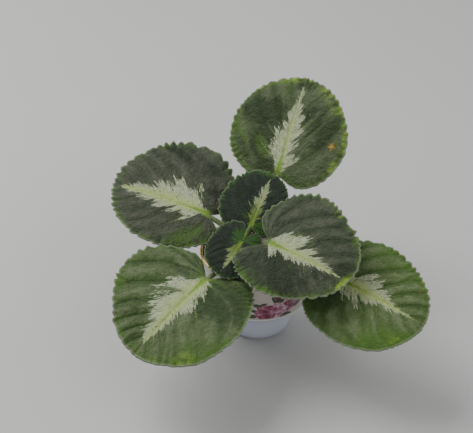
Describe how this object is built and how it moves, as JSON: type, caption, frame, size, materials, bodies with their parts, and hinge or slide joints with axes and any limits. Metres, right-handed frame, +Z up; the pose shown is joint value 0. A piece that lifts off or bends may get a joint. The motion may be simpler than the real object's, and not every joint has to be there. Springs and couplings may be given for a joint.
{
  "type": "potted primulina",
  "caption": "Low rosette of round, scalloped, heart-based leaves with silver flame markings, on fleshy stalks from a short crown, growing in a small footed china cup.",
  "frame": {"origin": "middle of the cup's flat foot, on the surface it stands on", "axes": "+Z up along the cup's axis; the plant faces -Y, with +X to the viewer's right"},
  "size_m": [0.246, 0.2511, 0.1761],
  "materials": {
    "china": "gloss",
    "potting_mix": "matte",
    "stem": "matte",
    "leaf": "satin",
    "young_leaf": "satin"
  },
  "bodies": {
    "root": {"china_cup": "china", "potting_mix": "potting_mix", "crown_stem": "stem", "leaf_back": "leaf", "leaf_upper_left": "leaf", "leaf_lower_left": "leaf", "leaf_front": "leaf", "leaf_lower_right": "leaf", "young_leaf_upper": "young_leaf", "young_leaf_lower": "young_leaf"}
  },
  "joints": []
}
